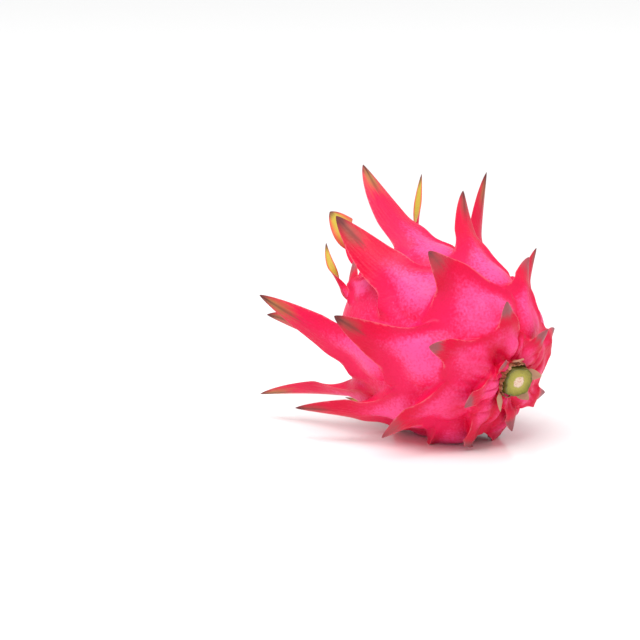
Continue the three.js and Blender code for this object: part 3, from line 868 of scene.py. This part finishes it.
def add_petal(shape, turn, start, length, width, flare):
    """One withered petal: start is its distance from the axis, flare how far it bends outwards."""
    made = bmesh.ops.create_grid(shape, x_segments=7, y_segments=16, size=0.5)["verts"]
    outwards = Vector((0, math.cos(turn), math.sin(turn)))
    round_axis = Vector((0, -math.sin(turn), math.cos(turn)))
    kinks = random.random(4) * 2 * math.pi
    for v in made:
        a, b = v.co.x * 2, v.co.y + 0.5
        torn = 1 + 0.16 * math.sin(9 * b + kinks[0]) + 0.1 * math.sin(23 * b + kinks[1] + a)
        half = 0.5 * width * (1 - b**2.2 * 0.85) * torn
        reach = length * b * (1 - 0.16 * abs(a) * abs(math.sin(3 * a + kinks[2])))
        bend = flare * b + 0.22 * math.sin(4 * b + kinks[3])
        fold = 0.5 * math.sin(5 * a + kinks[2]) * b + 0.28 * half * a * a
        along = Vector((-1, 0, 0)) * (PETAL_FOOT + reach * math.cos(bend))
        away = outwards * (start + reach * math.sin(bend) - fold)
        v.co = along + away + round_axis * (a * half)
    faces = list(dict.fromkeys(face for v in made for face in v.link_faces))
    bmesh.ops.recalc_face_normals(shape, faces=faces)
    bmesh.ops.solidify(shape, geom=faces, thickness=PETAL_WALL)


flower = bmesh.new()
for petals, start, length, width, flare in PETAL_RINGS:
    for i in range(petals):
        turn = 2 * math.pi * (i + 0.35 * random.random()) / petals + start
        grown = length * (0.75 + 0.4 * random.random())
        add_petal(flower, turn, start, grown, width, flare * (0.7 + 0.6 * random.random()))
bmesh.ops.recalc_face_normals(flower, faces=flower.faces)
flower_mesh = lay_down(flower, "dried_flower_petals")
add_piece("dried_flower_petals", flower_mesh, "dried_flower", "dried_flower")

# %% [markdown]
# ## Finishes
#
# A finish is a small net of nodes that works out the colour, the gloss and the fine bumps at each
# point. Written as plain sums it stays readable: the class below turns `a * 2 + b` into the Math
# nodes that do it.

# %% Sums of shader values
class Value:
    """A number that varies over the surface. Each sum with it adds a Math node."""

    def __init__(self, finish, socket):
        self.finish, self.socket = finish, socket

    def math(self, operation, *others):
        inputs = dict(enumerate((self, *others)))
        return self.finish.node("ShaderNodeMath", inputs, operation=operation)

    def __add__(self, other):
        return self.math("ADD", other)

    def __sub__(self, other):
        return self.math("SUBTRACT", other)

    def __rsub__(self, other):
        return (self * -1).math("ADD", other)

    def __mul__(self, other):
        return self.math("MULTIPLY", other)

    def __abs__(self):
        return self.math("ABSOLUTE")

    __radd__, __rmul__ = __add__, __mul__

    def between(self, low, high):
        """0 below low, 1 above high, and smooth between them."""
        inputs = {"Value": self, "From Min": low, "From Max": high}
        return self.finish.node("ShaderNodeMapRange", inputs, interpolation_type="SMOOTHSTEP")


class Finish:
    """A material with its nodes."""

    def __init__(self, name, **constants):
        self.material = bpy.data.materials.new(name)
        self.material.use_nodes = True
        self.tree = self.material.node_tree
        self.shader = self.tree.nodes["Principled BSDF"]
        for socket, value in constants.items():
            self.shader.inputs[socket.replace("_", " ")].default_value = value

    def node(self, kind, inputs=None, output=0, **settings):
        """Adds a node: first its settings, then the values or links of its sockets."""
        made = self.tree.nodes.new(kind)
        for setting, value in settings.items():
            setattr(made, setting, value)
        for socket, value in (inputs or {}).items():
            if isinstance(value, Value):
                self.tree.links.new(value.socket, made.inputs[socket])
            else:
                made.inputs[socket].default_value = value
        return Value(self, made.outputs[output])

    def mark(self, name, output=2):
        """A number that the mesh carries. Output 1 gives a mark that is a vector."""
        return self.node("ShaderNodeAttribute", output=output, attribute_name=name)

    def place(self):
        """Where a point is on the piece, in metres."""
        return self.node("ShaderNodeTexCoord", output=3)

    def noise(self, where, size, detail):
        """Noise from 0 to 1 whose blots are about so many metres across."""
        inputs = {"Vector": where, "Scale": 1 / size, "Detail": detail}
        return self.node("ShaderNodeTexNoise", inputs)

    def mix(self, share, first, second):
        """The first colour where share is 0 and the second where it is 1."""
        first, second = [(*c, 1) if isinstance(c, tuple) else c for c in (first, second)]
        inputs = {0: share, 6: first, 7: second}
        return self.node("ShaderNodeMix", inputs, output=2, data_type="RGBA", clamp_factor=True)

    def stretch(self, where, scale):
        """The same places, drawn out where the scale is below 1."""
        return self.node("ShaderNodeMapping", {"Vector": where, "Scale": scale})

    def bump(self, height, depth, under=None):
        """Fine relief. depth is in metres."""
        inputs = {"Height": height, "Strength": 1.0, "Distance": depth}
        if under is not None:
            inputs["Normal"] = under
        return self.node("ShaderNodeBump", inputs)

    def set(self, **inputs):
        """Links what varies to the shader's own sockets. Returns the finished material."""
        for socket, value in inputs.items():
            self.tree.links.new(value.socket, self.shader.inputs[socket.replace("_", " ")])
        print(self.material.name + ":", len(self.tree.nodes), "nodes")
        return self.material


trial = Finish("trial")
trial_sum = 1 - trial.mark("level") * 2
print("1 - level * 2 ends in a", trial_sum.socket.node.operation, "node, of", len(trial.tree.nodes))
bpy.data.materials.remove(trial.material)

# %% [markdown]
# ## The rind's finish
#
# The rind is a waxy skin: pale pink on top of each pillow and hot pink in the hollows, partly its own
# colour and partly a painted highlight on the tops and painted shade in the hollows. It deepens to
# crimson along the rims and at the foot of each blade, partly its own colour and partly painted shade,
# and the creases round the stem are darkened with crimson as painted shade. The long scales turn olive
# and then dark brown towards the tip, darkest along the midrib, and a thin pale pink line along their
# rims is a painted highlight. Their inner faces are yellow-green. The small scales round the stem have
# dull purple-brown tips. All of this follows the growth of the scale, so the marks that the mesh
# carries drive it, and noise only roughens the borders.

# %% Rind finish
PALE_PINK_AND_HIGHLIGHT, HOT_PINK, CRIMSON = (0.94, 0.075, 0.28), (0.85, 0.01, 0.1), (0.68, 0.0008, 0.04)
OLIVE, RUST, YELLOW_GREEN = (0.4, 0.2, 0.06), (0.33, 0.06, 0.05), (0.53, 0.39, 0.045)
TIP_BROWN, DULL_PURPLE = (0.15, 0.035, 0.035), (0.33, 0.085, 0.1)
RIM_HIGHLIGHT_PINK, DRY_TAN = (0.85, 0.2, 0.25), (0.5, 0.27, 0.17)
# Widths of blots and grain, and depths of the fine relief, in metres
BLOT, SPECKLE, PORES = 0.012, 0.0011, 0.005
PORE_DEPTH, FIBRE_DEPTH = 0.0003, 0.0004
# Lengths in millimetres between which a scale counts as long, and as one of the longest
LONG, LONGEST = (14, 30), (38, 50)

rind = Finish("rind_wax", Roughness=0.45, IOR=1.28)
where = rind.place()
level, side, face = rind.mark("level"), abs(rind.mark("place")), rind.mark("face")
length, chance = rind.mark("length"), rind.mark("chance")
pillow, ridge, dry = rind.mark("pillow"), rind.mark("ridge"), rind.mark("dried")
blots = rind.noise(where, BLOT, 3)
speckle = rind.noise(where, SPECKLE, 2)
streaks = rind.noise(rind.stretch(rind.mark("blade", 1), (0.9, 0.09, 1)), 1.0, 3)

grain = (speckle - 0.5) * 1.1 + (blots - 0.5) * 0.7
# Pale pink on top of each pillow and hot pink in the hollows: partly the rind's own colour, partly a
# painted highlight on the pillow tops and painted shade in the hollows.
hollow = (1 - pillow).between(0.0, 0.9) * 0.6 + ridge.between(0.1, 0.8) * 0.5
skin = rind.mix((hollow + grain).between(-0.1, 0.7), PALE_PINK_AND_HIGHLIGHT, HOT_PINK)
bleached = 1 - length.between(*LONGEST) * 0.6
# Crimson along the rims and at the foot of each blade is partly the rind's own colour and partly painted
# shade. The rind round the stem is darker, and the crimson in the creases is painted shade.
crimson = ridge.between(0.2, 0.9) * 0.35 + level.between(0.0, 0.3) * 0.7 * bleached
crimson = crimson + rind.mark("stem_end") * 0.3 + rind.mark("crease") * 0.7
skin = rind.mix(crimson + grain * 0.4, skin, CRIMSON)
print("the pink skin takes", len(rind.tree.nodes), "nodes")

# %% Green blades and dark tips
long_scale = length.between(*LONG)
middle = 1 - side.between(0.15, 0.95)
ragged = (streaks - 0.5) * 0.35 + (chance - 0.5) * 0.15
inner = face.between(0.0, 0.7)
outer_green = (level + ragged).between(0.48, 0.85) * (middle * 0.75 + 0.25)
inner_green = (level + ragged).between(0.1, 0.5) * (1 - side.between(0.4, 1.0) * 0.8)
green = (outer_green * (1 - inner) + inner_green * inner) * long_scale
leaf_green = rind.mix(length.between(*LONGEST), RUST, OLIVE)
leaf_green = rind.mix(inner, leaf_green, YELLOW_GREEN)
skin = rind.mix(green, skin, leaf_green)
midrib = (1 - side.between(0.02, 0.3)) * (level + ragged).between(0.4, 0.75) * (1 - inner)
dark = (level + ragged * 0.5).between(0.8, 0.99) + midrib * 0.55 * long_scale
skin = rind.mix(dark * (0.35 + 0.65 * long_scale), skin, TIP_BROWN)
small_tip = (level + ragged + (1 - length.between(6, 16)) * 0.3).between(0.35, 0.75) * (1 - long_scale)
skin = rind.mix(small_tip, skin, DULL_PURPLE)
# A thin pale pink line along the rims of the blades is a painted highlight.
painted_rim_highlight = (1 - abs(face).between(0.0, 0.9)) * level.between(0.0, 0.05) * (1 - level.between(0.7, 0.95))
skin = rind.mix(painted_rim_highlight * 0.45, skin, RIM_HIGHLIGHT_PINK)
skin = rind.mix(dry * level.between(0.02, 0.2), skin, DRY_TAN)

fine = rind.bump(speckle * 0.5 + rind.noise(where, PORES, 3), PORE_DEPTH)
fine = rind.bump(streaks * level.between(0.02, 0.3), FIBRE_DEPTH, fine)
gloss = 0.36 + blots * 0.12 + dark * 0.2 + dry * 0.3
rind_mesh.materials.append(rind.set(Base_Color=skin, Roughness=gloss, Normal=fine))

# %% [markdown]
# ## The stem's finish
#
# The cut shows three rings: dark green bark, damp yellow-green flesh and a pale pith with pinkish
# specks. The mesh carries how far each point is from the middle, and noise makes the borders
# uneven. The side of the stub is bark all over.

# %% Stem finish
BARK_GREEN, FLESH_GREEN, FLESH_EDGE = (0.12, 0.11, 0.01), (0.43, 0.38, 0.05), (0.26, 0.23, 0.015)
PITH, PITH_SPECK = (0.8, 0.62, 0.47), (0.62, 0.2, 0.13)

cut = Finish("stem_cut", Roughness=0.45)
where = cut.place()
ring = cut.mark("size") + (cut.noise(where, 0.0022, 3) - 0.5) * 0.25
flesh = cut.mix(ring.between(0.45, 0.9), FLESH_GREEN, FLESH_EDGE)
flesh = cut.mix((cut.noise(where, 0.0008, 2) - 0.45) * 0.9, flesh, BARK_GREEN)
pith = cut.mix(cut.noise(where, 0.0007, 2).between(0.5, 0.68) * 0.8, PITH, PITH_SPECK)
face_colour = cut.mix(ring.between(0.3, 0.42), pith, flesh)
face_colour = cut.mix(ring.between(0.82, 0.97), face_colour, BARK_GREEN)
rough = cut.bump(cut.noise(where, 0.0007, 3), 0.0003)
stem_mesh.materials.append(cut.set(Base_Color=face_colour, Normal=rough))

# %% [markdown]
# ## Dry, papery skin
#
# The sheath and the dead petals are the same stuff: thin brown skin with fibres along it, paler
# where it is worn. Noise that is stretched along the stem makes the fibres.

# %% Papery finish
PAPER_DARK, PAPER_MID, PAPER_PALE = (0.16, 0.055, 0.025), (0.45, 0.19, 0.085), (0.65, 0.42, 0.26)

dry_skin = Finish("dry_papery_skin", Roughness=0.8)
where = dry_skin.place()
fibres = dry_skin.noise(dry_skin.stretch(where, (0.25, 1, 1)), 0.0009, 4)
patches = dry_skin.noise(where, 0.004, 3)
brown = dry_skin.mix((fibres + (patches - 0.5) * 0.8).between(0.3, 0.6), PAPER_DARK, PAPER_MID)
brown = dry_skin.mix((patches + (fibres - 0.5) * 0.6).between(0.52, 0.75), brown, PAPER_PALE)
fibrous = dry_skin.bump(fibres, 0.0005)
paper_skin = dry_skin.set(Base_Color=brown, Normal=fibrous)
sheath_mesh.materials.append(paper_skin)
flower_mesh.materials.append(paper_skin)

# %% [markdown]
# ## The table
#
# The fruit lies on a white, faintly glossy board. One large flat face is enough. It reaches far
# beyond the picture, so that no edge shows.

# %% Table
STAGE_SIZE = 60.0
STAGE_WHITE = (0.97, 0.97, 0.97, 1)

floor_mesh = bpy.data.meshes.new("floor")
board = bmesh.new()
bmesh.ops.create_grid(board, x_segments=1, y_segments=1, size=STAGE_SIZE / 2)
board.to_mesh(floor_mesh)
board.free()
floor = bpy.data.objects.new("floor", floor_mesh)
bpy.context.scene.collection.objects.link(floor)
floor_mesh.materials.append(Finish("floor_white", Base_Color=STAGE_WHITE, Roughness=0.18).material)
print("table:", STAGE_SIZE, "m wide")

# %% [markdown]
# ## The camera
#
# The view is from a little above the table, with the stem end turned towards the eye and to the
# right. The distance and the focal length are worked out from how large the fruit is in the picture,
# and the camera moves sideways, instead of turning, to put the fruit at its place in the frame.

# %% Camera
AZIMUTH, ELEVATION = math.radians(46.5), math.radians(10)
DISTANCE, METRES_PER_PIXEL, PICTURE, SENSOR = 0.9, 0.00046, 640, 36
BODY_MIDDLE_PIXEL = (438, 341)

middle_place = Vector(on_table(np.zeros(3))[0])
level_share = math.cos(ELEVATION)
back = Vector(
    (math.sin(AZIMUTH) * level_share, -math.cos(AZIMUTH) * level_share, math.sin(ELEVATION))
)
right = Vector((math.cos(AZIMUTH), math.sin(AZIMUTH), 0))
up = back.cross(right)
right_of = (BODY_MIDDLE_PIXEL[0] - PICTURE / 2) * METRES_PER_PIXEL
below = (BODY_MIDDLE_PIXEL[1] - PICTURE / 2) * METRES_PER_PIXEL
eye = middle_place + back * DISTANCE - right * right_of + up * below
lens = bpy.data.cameras.new("camera")
lens.sensor_width = SENSOR
lens.lens = SENSOR * DISTANCE / METRES_PER_PIXEL / PICTURE
camera = bpy.data.objects.new("camera", lens)
camera.matrix_world = Matrix.Translation(eye) @ Matrix((right, up, back)).transposed().to_4x4()
bpy.context.scene.collection.objects.link(camera)
bpy.context.scene.camera = camera
print("lens", round(lens.lens, 1), "mm")

# %% [markdown]
# ## The light
#
# A studio with white walls lights the fruit from all round, so shadows are faint. A very wide sun
# from the upper left gives the pillows their form, and a small area lamp puts a soft gloss on them.

# %% Light
SUN_ENERGY, SUN_SPREAD = 2.2, math.radians(50)
GLOSS_ENERGY, GLOSS_SIZE = 2.5, 0.35
WALL_LIGHT = 0.72


def add_lamp(name, kind, energy, away):
    """Puts a lamp at a place away from the fruit's middle and lets it shine there."""
    lamp = bpy.data.lights.new(name, kind)
    lamp.energy = energy
    holder = bpy.data.objects.new(name, lamp)
    holder.location = middle_place + away
    holder.rotation_euler = away.to_track_quat("Z", "Y").to_euler()
    bpy.context.scene.collection.objects.link(holder)
    return lamp


add_lamp("key", "SUN", SUN_ENERGY, back * 0.5 - right * 0.35 + up * 1.1).angle = SUN_SPREAD
add_lamp("gloss", "AREA", GLOSS_ENERGY, back * 0.5 + right * 0.25 + up * 0.8).size = GLOSS_SIZE
world = bpy.data.worlds.new("studio")
bpy.context.scene.world = world
world.use_nodes = True
walls = world.node_tree.nodes["Background"].inputs
walls["Color"].default_value = (1, 1, 1, 1)
walls["Strength"].default_value = WALL_LIGHT
bpy.context.scene.view_settings.view_transform = "Standard"
print("lamps:", [lamp.name for lamp in bpy.data.lights])
